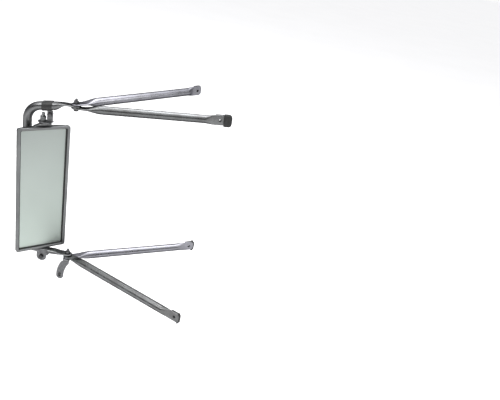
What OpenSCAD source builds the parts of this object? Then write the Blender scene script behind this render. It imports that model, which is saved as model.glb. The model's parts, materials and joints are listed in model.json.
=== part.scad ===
// Door mirror on a tube loop, carried by two upper and two lower tube arms.
// Origin: centre of the bolt hole in the foot of the upper rear arm.
// +Z is up along the hinge axes, +X points towards the vehicle, -Y points to its rear.

/* [Tube] */
// Outside diameter of every tube
tube_d = 25.4; // [22:0.1:26]
// Wall thickness of every tube
tube_wall = 1.5; // [1.2:0.1:2.5]
// Thickness of a tube end pressed flat
tongue_t = 4.2; // [3.5:0.1:5]
// Width of a tube end pressed flat
tongue_w = 27; // [24:0.5:30]

/* [Loop] */
// Distance from the hinge axis to the upright of the loop
loop_reach = 139.5; // [130:0.5:160]
// Height between the middles of the two hinge stacks
hinge_span = 510; // [500:1:530]
// Slope of the loop's upper arm, rising towards the hinge
top_slope = 10.3; // [6:0.1:11]
// Bend radius at the top of the upright
top_bend = 46; // [42:1:50]
// Bend radius at the bottom of the upright
bottom_bend = 33; // [30:1:34]
// Height of the flattened lower arm where it runs under the head
saddle_h = 13; // [12:0.5:14]

/* [Mirror head] */
// Width of the head
head_w = 156; // [150:1:160]
// Height of the head
head_h = 414; // [400:1:414]
// Depth of the head from the rim to the back
head_d = 27; // [26:0.5:28]
// Width of the rim at the sides
rim_side = 9; // [8:0.5:11]
// Width of the rim at the top and the bottom
rim_end = 8; // [6:0.5:9]
// How far the glass sits behind the front of the rim
recess = 8; // [6:0.5:9]
// Distance from the hinge axis to the head's own turning axis
stud_reach = 93.8; // [92:0.1:95]
// Angle of the head to the plane of the loop
head_turn = 40; // [36:1:50]

/* [Arms] */
// Length of the upper front arm, from its hinge to its end
upper_front_len = 481; // [440:1:500]
// Length of the upper rear arm
upper_rear_len = 438; // [420:1:460]
// Length of the lower front arm
lower_front_len = 435; // [420:1:460]
// Length of the lower rear arm
lower_rear_len = 454; // [420:1:470]
// Direction of the upper front arm, seen from above
upper_front_turn = 48.8; // [40:0.1:60]
// Direction of the upper rear arm
upper_rear_turn = 12.9; // [5:0.1:20]
// Direction of the lower front arm
lower_front_turn = 27.8; // [20:0.1:40]
// Direction of the lower rear arm
lower_rear_turn = -27.7; // [-40:0.1:-20]
// Height of the pressed foot at the end of an arm
foot_h = 32; // [28:0.5:34]
// Radius of the bolt hole in a foot
foot_hole_r = 4.5; // [4:0.1:5]

/* [Hidden] */

$fn = 64;
hull_fn = 32;
eps = 0.01;
tube_r = tube_d / 2;
// Hinge hardware: M8 bolts, with a running gap in every hole
bolt_r = 4;
hinge_gap = 0.05;
hinge_hole_r = bolt_r + hinge_gap;
hex_r = 7.5;
nut_h = 6.8;
bolt_head_h = 5.3;
washer_r = 9;
washer_t = 1.6;
spacer_t = 1.0;
face_gap = 0.1;
level_step = tongue_t + spacer_t + 2 * face_gap;
bolt_rise = 22;
// Pressed ends of the arms
tongue_run = 24;
taper_run = 46;
foot_run = 32;
foot_taper = 34;
foot_corner = 8;
hole_inset = 16;
foot_t = tongue_t;
taper_slice = 0.4;
// A taper is this much thinner than what it joins, and reaches this far into it
slip = 0.15;
join = 1.4;
// A bend is this much thicker than the straight tubes that enter it
bend_over = 0.05;
// Levels in the two hinge stacks
upper_front_z = level_step;
upper_rear_z = -level_step;
loop_low_z = -hinge_span + 1.5 * level_step;
lower_rear_z = -hinge_span + 0.5 * level_step;
lower_front_z = -hinge_span - 0.5 * level_step;
strap_t = 3.2;
strap_drop = 64;
strap_plate_y = -17;
strap_end_x = -17;
strap_turn = -5;
strap_slot = 7;
strap_slot_r = 2.6;
strap_z = lower_front_z - tongue_t / 2 - spacer_t - 2 * face_gap;
// Slope of each arm's tube away from its flat tongue
upper_front_lift = 1.3;
upper_rear_lift = 2.1;
lower_front_lift = 0.9;
lower_rear_lift = -1.5;
// Head levels and depths
head_top = -77.5;
head_low = head_top - head_h;
head_mid = (head_top + head_low) / 2;
rim_front = -18;
rim_skirt = 10;
rim_sheet = 1;
sheet = 1.2;
cap_top = head_top - rim_sheet;
cap_low = head_low + rim_sheet;
side_edge = -11;
back_y = rim_front + head_d;
face_corner = 7.5;
back_corner = 7;
glass_front = rim_front + recess;
glass_t = 3;
glass_w = head_w - 2 * rim_side + 5;
glass_h = head_h - 2 * rim_end + 5;
pad_t = 1.8;
// Head turning axis: M10 stud at the top, plain pin at the bottom
stud_r = 5;
stud_top = -37;
stud_nut_r = 9.2;
stud_nut_h = 8;
thin_nut_h = 5;
nut_gap = 0.2;
bush_r = 7;
bush_h = 3.5;
thrust_t = 2.1;
clip_foot_top = -63;
clip_foot_t = 3;
clip_wall = 2.5;
clip_w = 29;
strap_left = -82.4;
strap_wide = 17.2;
saddle_len = 56;
saddle_wide = 15;
// Yoke under the head
yoke_t = 2;
yoke_leg_t = 2.2;
yoke_shift = 13.5;
yoke_r = 16;
saddle_w = 27;
saddle_z = head_low - 3.4 - saddle_h / 2;
yoke_bolt_z = saddle_z - 17;

// Where the foot hole of the upper rear arm lies, seen from the middle of the upper hinge
function foot_at(len, turn, lift, z) =
    let (run = len - hole_inset - tongue_run)
    [(tongue_run + run * cos(lift)) * cos(turn),
     (tongue_run + run * cos(lift)) * sin(turn),
     z + run * sin(lift)];
home = -foot_at(upper_rear_len, upper_rear_turn, upper_rear_lift, upper_rear_z);

module from_home() { translate(home) children(); }
module at_stud() {
    from_home() translate([-stud_reach, 0, 0]) rotate([0, 0, head_turn]) children();
}

// ---- small hardware -------------------------------------------------------

module ring(r_out, r_in, h) {
    difference() {
        cylinder(r = r_out, h = h);
        translate([0, 0, -1]) cylinder(r = r_in, h = h + 2);
    }
}
// Hexagonal nut standing on z = 0
module hex_nut(r_hex, r_in, h) {
    difference() {
        cylinder(r = r_hex, h = h, $fn = 6);
        translate([0, 0, -1]) cylinder(r = r_in, h = h + 2);
    }
}
// Bolt with its head below z = 0 and its shank above
module hex_bolt(shank) {
    translate([0, 0, -bolt_head_h]) cylinder(r = hex_r, h = bolt_head_h, $fn = 6);
    translate([0, 0, -eps]) cylinder(r = bolt_r, h = shank - 1 + eps);
    translate([0, 0, shank - 1]) cylinder(r1 = bolt_r, r2 = bolt_r - 0.8, h = 1);
}

// ---- tubes and arms -------------------------------------------------------

// Flat tongue round the hinge hole, in the plane z = 0
module tongue(run) {
    translate([0, 0, -tongue_t / 2]) cylinder(r = tongue_w / 2, h = tongue_t);
    translate([0, -tongue_w / 2, -tongue_t / 2]) cube([run, tongue_w, tongue_t]);
}
// Ends of a pressed taper, a little under the size of the tongue, tube or foot they enter
module tongue_edge() {
    translate([-join, 0, 0])
        cube([taper_slice, tongue_w - 2 * slip, tongue_t - 2 * slip], center = true);
}
module tube_disc(inset = slip) {
    rotate([0, 90, 0]) cylinder(r = tube_r - inset, h = taper_slice, $fn = hull_fn);
}
module foot_edge() {
    translate([join, 0, 0])
        cube([taper_slice, foot_t - 2 * slip, foot_h - 2 * slip], center = true);
}
module hollow_tube(run) {
    rotate([0, 90, 0]) difference() {
        cylinder(r = tube_r, h = run);
        translate([0, 0, 2]) cylinder(r = tube_r - tube_wall, h = run - 4);
    }
}
// Pressed foot standing upright, seen from the side
module foot_outline(grow) {
    r = foot_corner + grow;
    w = foot_run + grow;
    h = foot_h / 2 + grow;
    translate([0, -h]) square([w - r, 2 * h]);
    translate([w - r - 1, -h + r]) square([r + 1, 2 * (h - r)]);
    for (side = [-1, 1]) translate([w - r, side * (h - r)]) circle(r = r);
}
module upright(t) { rotate([90, 0, 0]) translate([0, 0, -t / 2]) linear_extrude(t) children(); }

// One arm along +X: hinge tongue, tube and upright foot
module arm(len, lift) {
    tube_run = len - tongue_run - taper_run - foot_taper - foot_run;
    difference() {
        union() {
            tongue(tongue_run);
            translate([tongue_run, 0, 0]) rotate([0, -lift, 0]) {
                hull() {
                    tongue_edge();
                    translate([taper_run + join, 0, 0]) tube_disc();
                }
                translate([taper_run, 0, 0]) hollow_tube(tube_run);
                translate([taper_run + tube_run, 0, 0]) {
                    hull() {
                        translate([-join, 0, 0]) tube_disc();
                        translate([foot_taper, 0, 0]) foot_edge();
                    }
                    translate([foot_taper, 0, 0]) upright(foot_t) foot_outline(0);
                }
            }
        }
        translate([0, 0, -tongue_t]) cylinder(r = hinge_hole_r, h = 2 * tongue_t);
        on_foot(len, lift) rotate([90, 0, 0]) cylinder(r = foot_hole_r, h = 20, center = true);
    }
}
// Moves to the foot hole of an arm
module on_foot(len, lift) {
    translate([tongue_run, 0, 0]) rotate([0, -lift, 0])
        translate([len - hole_inset - tongue_run, 0, 0]) children();
}
// Rubber pad on the inner face of a foot, wrapping its end by lip, with a pull tab on top
module foot_pad(len, lift, lip, tab) {
    pad = 3;
    grow = 1.2;
    trim = 2;
    tab_w = 4;
    pilot_r = 2;
    on_foot(len, lift) translate([hole_inset - foot_run, 0, 0]) difference() {
        union() {
            translate([0, foot_t / 2 + pad / 2, 0]) upright(pad) foot_outline(grow);
            intersection() {
                upright(foot_t) foot_outline(grow + lip);
                translate([foot_run - 6, -foot_t, -foot_h]) cube([20, 2 * foot_t, 2 * foot_h]);
            }
            if (tab > 0) translate([foot_run - foot_corner + 2, foot_t / 2, foot_h / 2 - 2])
                cube([tab_w, pad, tab + 2]);
        }
        translate([-1, 0, -foot_h]) cube([1 + trim, 2 * foot_t, 2 * foot_h]);
        upright(foot_t + 2 * eps) foot_outline(0);
        translate([foot_run - hole_inset, 0, 0]) rotate([90, 0, 0])
            cylinder(r = pilot_r, h = 20, center = true);
    }
}
module place_arm(turn, z) { from_home() rotate([0, 0, turn]) translate([0, 0, z]) children(); }
module in_upper_rear() { place_arm(upper_rear_turn, upper_rear_z) children(); }
module in_upper_front() { place_arm(upper_front_turn, upper_front_z) children(); }
module in_lower_rear() { place_arm(lower_rear_turn, lower_rear_z) children(); }
module in_lower_front() { place_arm(lower_front_turn, lower_front_z) children(); }

module upper_rear_arm() { color("#83878a") in_upper_rear() arm(upper_rear_len, upper_rear_lift); }
module upper_front_arm() { color("#b7babf") in_upper_front() arm(upper_front_len, upper_front_lift); }
module lower_rear_arm() { color("#8d8f92") in_lower_rear() arm(lower_rear_len, lower_rear_lift); }
module lower_front_arm() { color("#c3c8c9") in_lower_front() arm(lower_front_len, lower_front_lift); }

module upper_front_pad() {
    color("#202122") in_upper_front() foot_pad(upper_front_len, upper_front_lift, 0, 0);
}
module lower_rear_pad() {
    color("#202122") in_lower_rear() foot_pad(lower_rear_len, lower_rear_lift, 1.6, 0);
}
module lower_front_pad() {
    color("#202122") in_lower_front() foot_pad(lower_front_len, lower_front_lift, 3, 8);
}
// Rubber pad of the upper rear foot, with a thick boot over the foot's end
module upper_rear_boot() {
    boot_h = 38;
    boot_t = 16;
    cover = 4;
    reach = 21;
    r = 9;
    color("#161717") in_upper_rear() {
        foot_pad(upper_rear_len, upper_rear_lift, 0, 0);
        on_foot(upper_rear_len, upper_rear_lift) translate([hole_inset, 0, 0]) difference() {
            upright(boot_t) {
                translate([-cover, -boot_h / 2]) square([cover + reach - r, boot_h]);
                translate([0, -boot_h / 2 + r]) square([reach, boot_h - 2 * r]);
                for (side = [-1, 1]) translate([reach - r, side * (boot_h / 2 - r)]) circle(r = r);
            }
            translate([-foot_run, 0, 0]) upright(foot_t + 2 * eps) foot_outline(0);
        }
    }
}

// ---- hinge stacks ---------------------------------------------------------

module upper_stack(z) { from_home() translate([0, 0, z]) children(); }
upper_stack_top = upper_front_z + tongue_t / 2 + face_gap;
upper_stack_low = upper_rear_z - tongue_t / 2;
module upper_pivot_bolt() {
    color("#2b2c2d") upper_stack(upper_stack_low - washer_t)
        hex_bolt(bolt_rise - upper_stack_low + washer_t);
}
module upper_pivot_nut() {
    color("#2b2c2d") upper_stack(upper_stack_top + washer_t) hex_nut(hex_r, bolt_r, nut_h);
}
module upper_pivot_washers() {
    color("#77797b") {
        upper_stack(upper_stack_top) ring(washer_r, bolt_r, washer_t);
        upper_stack(upper_stack_low - washer_t) ring(washer_r, bolt_r, washer_t);
    }
}
// Thin ring that rides on one of the two parts it lies between
module spacer() { ring(washer_r, hinge_hole_r, spacer_t); }
module upper_front_spacer() {
    color("#77797b") upper_stack(upper_front_z - tongue_t / 2 - spacer_t) spacer();
}
module upper_loop_spacer() {
    color("#77797b") upper_stack(-tongue_t / 2 - spacer_t) spacer();
}
lower_stack_top = loop_low_z + tongue_t / 2;
lower_stack_low = strap_z - strap_t - face_gap;
module lower_pivot_bolt() {
    color("#2b2c2d") upper_stack(lower_stack_low - washer_t)
        hex_bolt(lower_stack_top + washer_t + nut_h + 8 - lower_stack_low + washer_t);
}
module lower_pivot_nut() {
    color("#2b2c2d") upper_stack(lower_stack_top + washer_t) hex_nut(hex_r, bolt_r, nut_h);
}
module lower_pivot_washers() {
    color("#77797b") {
        upper_stack(lower_stack_top) ring(washer_r, bolt_r, washer_t);
        upper_stack(lower_stack_low - washer_t) ring(washer_r, bolt_r, washer_t);
    }
}
module lower_rear_spacer() {
    color("#77797b") upper_stack(lower_rear_z + tongue_t / 2) spacer();
}
module lower_front_spacer() {
    color("#77797b") upper_stack(lower_front_z + tongue_t / 2) spacer();
}
// Thin ring between the strap and the arm above it
module strap_spacer() {
    color("#77797b") upper_stack(strap_z) spacer();
}

// ---- the loop -------------------------------------------------------------

// Corner where the sloping upper arm would meet the upright
corner_z = -loop_reach * tan(top_slope);
top_turn = 90 - top_slope;
top_tangent = top_bend * tan(top_turn / 2);
top_round_x = -62;
upright_top = corner_z - top_tangent;
press_top = saddle_z + bottom_bend + 22;
press_low = saddle_z + bottom_bend;
saddle_end = -46;
low_tongue_run = 22;

// Rounded flat section of the pressed lower arm; u is its thickness, v its width
module saddle_section() {
    for (side = [-1, 1]) translate([0, side * (saddle_w - saddle_h) / 2]) circle(r = saddle_h / 2);
    square([saddle_h, saddle_w - saddle_h], center = true);
}
module saddle_slice() {
    rotate([0, 90, 0]) linear_extrude(taper_slice) for (side = [-1, 1])
        translate([0, side * (saddle_w - saddle_h) / 2])
            circle(r = saddle_h / 2 - slip, $fn = hull_fn);
}
module loop_upper_arm() {
    rotate([0, 0, 180]) tongue(tongue_run);
    hull() {
        translate([-tongue_run, 0, 0]) mirror([1, 0, 0]) tongue_edge();
        translate([top_round_x, 0, top_round_x * tan(top_slope)])
            rotate([0, -top_slope, 0]) translate([-join, 0, 0]) tube_disc();
    }
    straight = (loop_reach + top_round_x) / cos(top_slope) - top_tangent + join;
    translate([top_round_x, 0, top_round_x * tan(top_slope)])
        rotate([0, 180 - top_slope, 0]) hollow_tube(straight);
}
module loop_top_bend() {
    translate([-loop_reach + top_bend, 0, upright_top])
        rotate([90, 0, 0]) rotate([0, 0, 180 - top_turn])
            rotate_extrude(angle = top_turn) translate([top_bend, 0])
                circle(r = tube_r + bend_over);
}
module loop_upright() {
    translate([-loop_reach, 0, press_top]) rotate([0, -90, 0])
        hollow_tube(upright_top - press_top + join);
    hull() {
        translate([-loop_reach, 0, press_top + join]) rotate([0, -90, 0]) tube_disc(3 * slip);
        translate([-loop_reach, 0, press_low - join]) rotate([0, 90, 0]) saddle_slice();
    }
}
module loop_lower_arm() {
    translate([-loop_reach + bottom_bend, 0, press_low]) rotate([90, 0, 0]) rotate([0, 0, 180])
        rotate_extrude(angle = 90) translate([bottom_bend, 0]) saddle_section();
    translate([-loop_reach + bottom_bend, 0, saddle_z]) rotate([0, 90, 0])
        linear_extrude(saddle_end + loop_reach - bottom_bend) saddle_section();
    hull() {
        translate([saddle_end - join, 0, saddle_z]) saddle_slice();
        translate([-low_tongue_run, 0, loop_low_z]) rotate([0, 0, 180]) tongue_edge();
    }
    translate([0, 0, loop_low_z]) rotate([0, 0, 180]) tongue(low_tongue_run);
}
module loop_tube() {
    color("#7c8083") from_home() difference() {
        union() {
            loop_upper_arm();
            loop_top_bend();
            loop_upright();
            loop_lower_arm();
        }
        translate([0, 0, -tongue_t]) cylinder(r = hinge_hole_r, h = 2 * tongue_t);
        translate([0, 0, loop_low_z - tongue_t]) cylinder(r = bolt_r, h = 2 * tongue_t);
    }
}

// ---- clip that holds the head's stud at the top ---------------------------

clip_x = -stud_reach - 2 + clip_w / 2;
clip_bolt = [strap_left + strap_wide / 2, -40];
strap_half = clip_wall;
module clip_foot() {
    foot_y = 14.5;
    difference() {
        translate([-stud_reach, 0, clip_foot_top - clip_foot_t]) union() {
            cylinder(r = foot_y, h = clip_foot_t);
            translate([0, -foot_y, 0])
                cube([strap_left + strap_wide + stud_reach - 1.5, 2 * foot_y, clip_foot_t]);
        }
        translate([-stud_reach, 0, clip_foot_top - 2 * clip_foot_t])
            cylinder(r = stud_r + hinge_gap, h = 3 * clip_foot_t);
    }
}
module along_upper_arm(x) {
    translate([x, 0, x * tan(top_slope)]) rotate([0, 90 - top_slope, 0]) children();
}
module top_clip() {
    color("#26282a") from_home() {
        difference() {
            union() {
                along_upper_arm(clip_x) cylinder(r = tube_r + clip_wall, h = clip_w, center = true);
                translate([strap_left, -strap_half, clip_foot_top])
                    cube([strap_wide, 2 * strap_half, -clip_foot_top + clip_x * tan(top_slope)]);
            }
            along_upper_arm(clip_x) cylinder(r = tube_r, h = 3 * clip_w, center = true);
            translate([clip_bolt[0], 0, clip_bolt[1]]) rotate([90, 0, 0])
                cylinder(r = bolt_r, h = 40, center = true);
        }
        clip_foot();
    }
}
module top_clip_bolt() {
    color("#2b2c2d") from_home() translate([clip_bolt[0], -strap_half, clip_bolt[1]])
        rotate([-90, 0, 0]) hex_bolt(2 * strap_half + nut_h + 2);
}
module top_clip_nut() {
    color("#2b2c2d") from_home() translate([clip_bolt[0], strap_half, clip_bolt[1]])
        rotate([-90, 0, 0]) hex_nut(hex_r, bolt_r, nut_h);
}

// ---- yoke that carries the head at the bottom -----------------------------

yoke_x = -stud_reach + yoke_shift;
leg_y = saddle_w / 2;
web_low = saddle_z + saddle_h / 2;
module bottom_yoke() {
    web_r = 12;
    color("#4a4d50") from_home() difference() {
        union() {
            for (side = [-1, 1]) translate([yoke_x, side * (leg_y + yoke_leg_t / 2), 0])
                upright(yoke_leg_t) {
                    translate([0, yoke_bolt_z]) circle(r = yoke_r);
                    translate([-yoke_r, yoke_bolt_z])
                        square([2 * yoke_r, web_low + yoke_t - yoke_bolt_z]);
                }
            translate([yoke_x - yoke_r, -leg_y - yoke_leg_t, web_low])
                cube([2 * yoke_r, 2 * (leg_y + yoke_leg_t), yoke_t]);
            translate([-stud_reach, 0, web_low]) cylinder(r = web_r, h = yoke_t);
        }
        translate([-stud_reach, 0, web_low - 1]) cylinder(r = stud_r, h = yoke_t + 2);
        translate([yoke_x, 0, yoke_bolt_z]) rotate([90, 0, 0])
            cylinder(r = bolt_r, h = 60, center = true);
    }
}
module bottom_pivot_pin() {
    color("#8f9294") from_home() translate([-stud_reach, 0, web_low])
        cylinder(r = stud_r, h = cap_low + 20 - web_low);
}
module yoke_bolt() {
    half = leg_y + yoke_leg_t;
    color("#2b2c2d") from_home() translate([yoke_x, half, yoke_bolt_z])
        rotate([90, 0, 0]) hex_bolt(2 * half + nut_h + 2);
}
module yoke_nut() {
    color("#2b2c2d") from_home() translate([yoke_x, -leg_y - yoke_leg_t, yoke_bolt_z])
        rotate([90, 0, 0]) hex_nut(hex_r, bolt_r, nut_h);
}

// ---- mirror head ----------------------------------------------------------

module rounded_rect(w, h, r) {
    square([w - 2 * r, h], center = true);
    square([w, h - 2 * r], center = true);
    for (x = [-1, 1], z = [-1, 1]) translate([x * (w / 2 - r), z * (h / 2 - r)]) circle(r = r);
}
// Plate or frame facing -Y, between depths y0 and y1
module face_plate(y0, y1) {
    translate([0, y1, head_mid]) rotate([90, 0, 0]) linear_extrude(y1 - y0) children();
}
// Bowed body of the head, shrunk on every side by the sheet
module head_body(shrink) {
    half_w = head_w / 2 - rim_sheet - shrink;
    half_h = head_h / 2 - rim_sheet - shrink;
    back = back_y - shrink;
    front = rim_front + rim_sheet - (shrink > 0 ? 1 : 0);
    bow = back - side_edge;
    corner = face_corner - rim_sheet - shrink;
    intersection() {
        translate([0, 0, head_mid - half_h]) linear_extrude(2 * half_h) {
            translate([-half_w, front]) square([2 * half_w, side_edge - front]);
            intersection() {
                polygon([for (a = [0:3:180]) [half_w * cos(a), side_edge + bow * sin(a)]]);
                translate([-half_w, side_edge - eps]) square([2 * half_w, bow + 1]);
            }
        }
        face_plate(front, back) rounded_rect(2 * half_w, 2 * half_h, corner);
        translate([-half_w, 0, head_mid]) rotate([90, 0, 90]) linear_extrude(2 * half_w) {
            translate([front, -half_h]) square([back - back_corner - front, 2 * half_h]);
            translate([front, -half_h + back_corner])
                square([back - front, 2 * (half_h - back_corner)]);
            for (side = [-1, 1])
                translate([back - back_corner, side * (half_h - back_corner)])
                    circle(r = back_corner);
        }
    }
}
module mirror_shell() {
    color("#aeb2b4") at_stud() difference() {
        head_body(0);
        head_body(sheet);
        translate([0, 0, head_top - 20]) cylinder(r = stud_r, h = 40);
        translate([0, 0, head_low - 20]) cylinder(r = bush_r, h = 40);
    }
}
module rim_frame() {
    open_w = head_w - 2 * rim_side;
    open_h = head_h - 2 * rim_end;
    color("#8e9294") at_stud() {
        face_plate(rim_front, rim_front + rim_sheet) difference() {
            rounded_rect(head_w, head_h, face_corner);
            rounded_rect(open_w, open_h, 3);
        }
        face_plate(rim_front, rim_front + rim_skirt) difference() {
            rounded_rect(head_w, head_h, face_corner);
            rounded_rect(head_w - 2 * rim_sheet, head_h - 2 * rim_sheet, face_corner - rim_sheet);
        }
        face_plate(rim_front, glass_front - 1.2) difference() {
            rounded_rect(open_w + 2 * rim_sheet, open_h + 2 * rim_sheet, 4);
            rounded_rect(open_w, open_h, 3);
        }
    }
}
module glass_gasket() {
    gasket = 2;
    lap = 3;
    color("#191a1a") at_stud() {
        face_plate(glass_front - 1.2, glass_front) difference() {
            rounded_rect(glass_w + 2 * gasket, glass_h + 2 * gasket, 6);
            rounded_rect(head_w - 2 * (rim_side + lap), head_h - 2 * (rim_end + lap), 3);
        }
        face_plate(glass_front - eps, glass_front + glass_t) difference() {
            rounded_rect(glass_w + 2 * gasket, glass_h + 2 * gasket, 6);
            rounded_rect(glass_w, glass_h, 4);
        }
    }
}
module mirror_glass() {
    color("#c3cdc6") at_stud() face_plate(glass_front, glass_front + glass_t)
        rounded_rect(glass_w, glass_h, 4);
}
module backing_pad() {
    color("#5b5c58") at_stud()
        face_plate(glass_front + glass_t, glass_front + glass_t + pad_t)
            rounded_rect(glass_w + 1, glass_h + 1, 5);
}
// Pressed channel inside the back that ties the two ends of the head together
module stud_channel() {
    w = 34;
    t = 1.5;
    back_gap = 0.9;
    chamfer = 8;
    flange = 8;
    front = glass_front + glass_t + pad_t;
    back = back_y - sheet - back_gap;
    top = cap_top - sheet;
    low = cap_low + sheet;
    color("#6d7072") at_stud() difference() {
        translate([-w / 2, front, low]) cube([w, back - front, top - low]);
        translate([-w / 2 + t, front - 1, low + flange])
            cube([w - 2 * t, back - front - t + 1, top - low - 2 * flange]);
        translate([0, 0, top - 30]) cylinder(r = stud_r, h = 60);
        translate([0, 0, low - 30]) cylinder(r = stud_r + hinge_gap, h = 60);
        translate([0, 0, low - 10]) cylinder(r = bush_r, h = 10 + bush_h - sheet);
        for (z = [top, low]) translate([0, back, z]) rotate([45, 0, 0])
            cube([2 * w, chamfer, chamfer], center = true);
    }
}
module top_stud() {
    color("#c9ccce") at_stud() {
        translate([0, 0, cap_top - 11]) cylinder(r = stud_r, h = stud_top - cap_top + 10);
        translate([0, 0, stud_top - 1]) cylinder(r1 = stud_r, r2 = stud_r - 1, h = 1);
    }
}
// Bright pressed saddle between the head and the clip
module stud_saddle() {
    top_z = clip_foot_top - clip_foot_t - 0.3;
    lift = top_z - cap_top;
    color("#b9bdbf") at_stud() difference() {
        hull() {
            for (x = [-1, 1]) translate([x * (saddle_len - saddle_wide) / 2, 0, cap_top])
                cylinder(r = saddle_wide / 2, h = 2, $fn = hull_fn);
            translate([0, 0, cap_top]) cylinder(r = stud_r + 2.5, h = lift, $fn = hull_fn);
        }
        translate([0, 0, cap_top - 1]) cylinder(r = stud_r, h = lift + 2);
    }
}
module stud_nuts() {
    color("#3a3c3e") at_stud() {
        translate([0, 0, clip_foot_top + 0.1 + washer_t]) hex_nut(stud_nut_r, stud_r, stud_nut_h);
        translate([0, 0, clip_foot_top + 0.1 + washer_t + stud_nut_h + nut_gap])
            rotate([0, 0, 20]) hex_nut(stud_nut_r, stud_r, thin_nut_h);
    }
}
module stud_washers() {
    color("#b0b3b5") at_stud() translate([0, 0, clip_foot_top + 0.1])
        ring(10.5, stud_r, washer_t);
}
module bottom_bush() {
    color("#c2b98e") at_stud() translate([0, 0, cap_low]) ring(bush_r, stud_r + hinge_gap, bush_h);
}
module bottom_thrust_washer() {
    color("#dcdcd2") at_stud() translate([0, 0, cap_low - thrust_t])
        ring(bush_r + 0.6, stud_r + hinge_gap, thrust_t);
}

// ---- free strap on the lower hinge ----------------------------------------

// Upright slot near the strap's end, with half circles of radius r at its ends
module slot_outline(r) {
    for (z = [0, strap_slot]) translate([0, strap_z - strap_drop + z]) circle(r = r);
    translate([-r, strap_z - strap_drop]) square([2 * r, strap_slot]);
}
module lower_strap() {
    w = 24;
    curve_r = 100;
    color("#8b8d8f") from_home() rotate([0, 0, strap_turn]) difference() {
        union() {
            translate([0, 0, strap_z - strap_t]) {
                cylinder(r = w / 2, h = strap_t);
                translate([-w / 2, strap_plate_y, 0]) cube([w, -strap_plate_y, strap_t]);
            }
            translate([0, strap_plate_y + strap_t / 2, 0]) upright(strap_t) {
                intersection() {
                    translate([strap_end_x + curve_r, strap_z - strap_drop]) difference() {
                        circle(r = curve_r + w / 2, $fn = 180);
                        circle(r = curve_r - w / 2, $fn = 180);
                    }
                    translate([-3 * w, strap_z - strap_drop]) square([3.5 * w, strap_drop]);
                }
                translate([strap_end_x, strap_z - strap_drop]) circle(r = w / 2);
            }
        }
        translate([0, 0, strap_z - 2 * strap_t]) cylinder(r = hinge_hole_r, h = 3 * strap_t);
        translate([strap_end_x, strap_plate_y + strap_t / 2, 0])
            upright(3 * strap_t) slot_outline(strap_slot_r);
    }
}
// Rubber grommet that lines the slot
module strap_grommet() {
    wall = 1.4;
    flange = 1;
    color("#191a1a") from_home() rotate([0, 0, strap_turn])
        translate([strap_end_x, strap_plate_y + strap_t / 2, 0]) difference() {
            union() {
                upright(strap_t + 2 * flange) slot_outline(strap_slot_r);
                for (side = [-1, 1]) translate([0, side * (strap_t + flange) / 2, 0])
                    upright(flange) slot_outline(strap_slot_r + 1);
            }
            upright(3 * strap_t) slot_outline(strap_slot_r - wall);
        }
}

upper_rear_arm();
upper_rear_boot();
upper_pivot_bolt();
upper_pivot_nut();
upper_pivot_washers();
upper_front_arm();
upper_front_pad();
upper_front_spacer();
loop_tube();
top_clip();
top_clip_bolt();
top_clip_nut();
bottom_yoke();
bottom_pivot_pin();
yoke_bolt();
yoke_nut();
lower_pivot_bolt();
lower_pivot_nut();
lower_pivot_washers();
upper_loop_spacer();
mirror_shell();
rim_frame();
glass_gasket();
mirror_glass();
backing_pad();
stud_channel();
top_stud();
stud_saddle();
stud_nuts();
stud_washers();
bottom_bush();
bottom_thrust_washer();
lower_rear_arm();
lower_rear_pad();
lower_rear_spacer();
lower_front_arm();
lower_front_pad();
lower_front_spacer();
lower_strap();
strap_grommet();
strap_spacer();
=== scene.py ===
"""Looks, floor, light and camera for a door mirror on a tube loop.

Every length is in metres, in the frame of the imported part: +Z up along the hinge axes,
+X towards the vehicle and -Y towards its rear, where the glass looks.
"""

import json
import logging
import math
from dataclasses import dataclass, field
from enum import Enum
from typing import Iterable, Sequence

import bmesh
import bpy
from mathutils import Matrix, Vector


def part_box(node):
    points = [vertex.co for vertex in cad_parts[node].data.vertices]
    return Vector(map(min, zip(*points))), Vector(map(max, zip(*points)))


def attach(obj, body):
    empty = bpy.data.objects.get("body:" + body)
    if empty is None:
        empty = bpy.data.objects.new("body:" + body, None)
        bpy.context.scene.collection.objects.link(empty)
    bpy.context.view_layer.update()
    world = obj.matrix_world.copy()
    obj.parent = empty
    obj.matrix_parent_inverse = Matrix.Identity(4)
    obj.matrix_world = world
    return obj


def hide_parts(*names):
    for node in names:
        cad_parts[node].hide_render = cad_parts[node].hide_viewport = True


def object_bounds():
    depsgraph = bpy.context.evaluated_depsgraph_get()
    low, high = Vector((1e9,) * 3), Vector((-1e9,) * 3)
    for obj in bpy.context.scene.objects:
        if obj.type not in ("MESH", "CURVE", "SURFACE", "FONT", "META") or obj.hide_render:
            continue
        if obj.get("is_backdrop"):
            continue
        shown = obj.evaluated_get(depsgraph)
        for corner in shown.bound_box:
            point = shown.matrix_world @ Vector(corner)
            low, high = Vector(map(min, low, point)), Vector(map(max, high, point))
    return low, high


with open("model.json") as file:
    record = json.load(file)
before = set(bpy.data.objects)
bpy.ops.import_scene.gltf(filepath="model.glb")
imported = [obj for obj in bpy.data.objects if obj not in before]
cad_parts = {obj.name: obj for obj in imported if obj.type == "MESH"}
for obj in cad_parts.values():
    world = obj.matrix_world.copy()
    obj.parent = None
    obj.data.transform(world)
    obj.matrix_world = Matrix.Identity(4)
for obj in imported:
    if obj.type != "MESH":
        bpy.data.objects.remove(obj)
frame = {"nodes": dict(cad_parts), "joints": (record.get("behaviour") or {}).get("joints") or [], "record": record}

LOG = logging.getLogger("door_mirror")
Colour = tuple[float, float, float]
# Edges sharper than this stay sharp
CREASE = math.radians(32)
# Points closer than this are one point
WELD = 1e-6
# Length of the cutters that make holes through one sheet or tube
THROUGH = 0.02
# Radius of an 8 mm bolt
BOLT_RADIUS = 0.004
# Radii of the holes that turn on an 8 mm bolt and on the 10 mm stud
BOLT_BORE = 0.00405
STUD_BORE = 0.00505
# Distance between the middles of two sheets in a hinge stack
STACK_STEP = 0.0054
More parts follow.
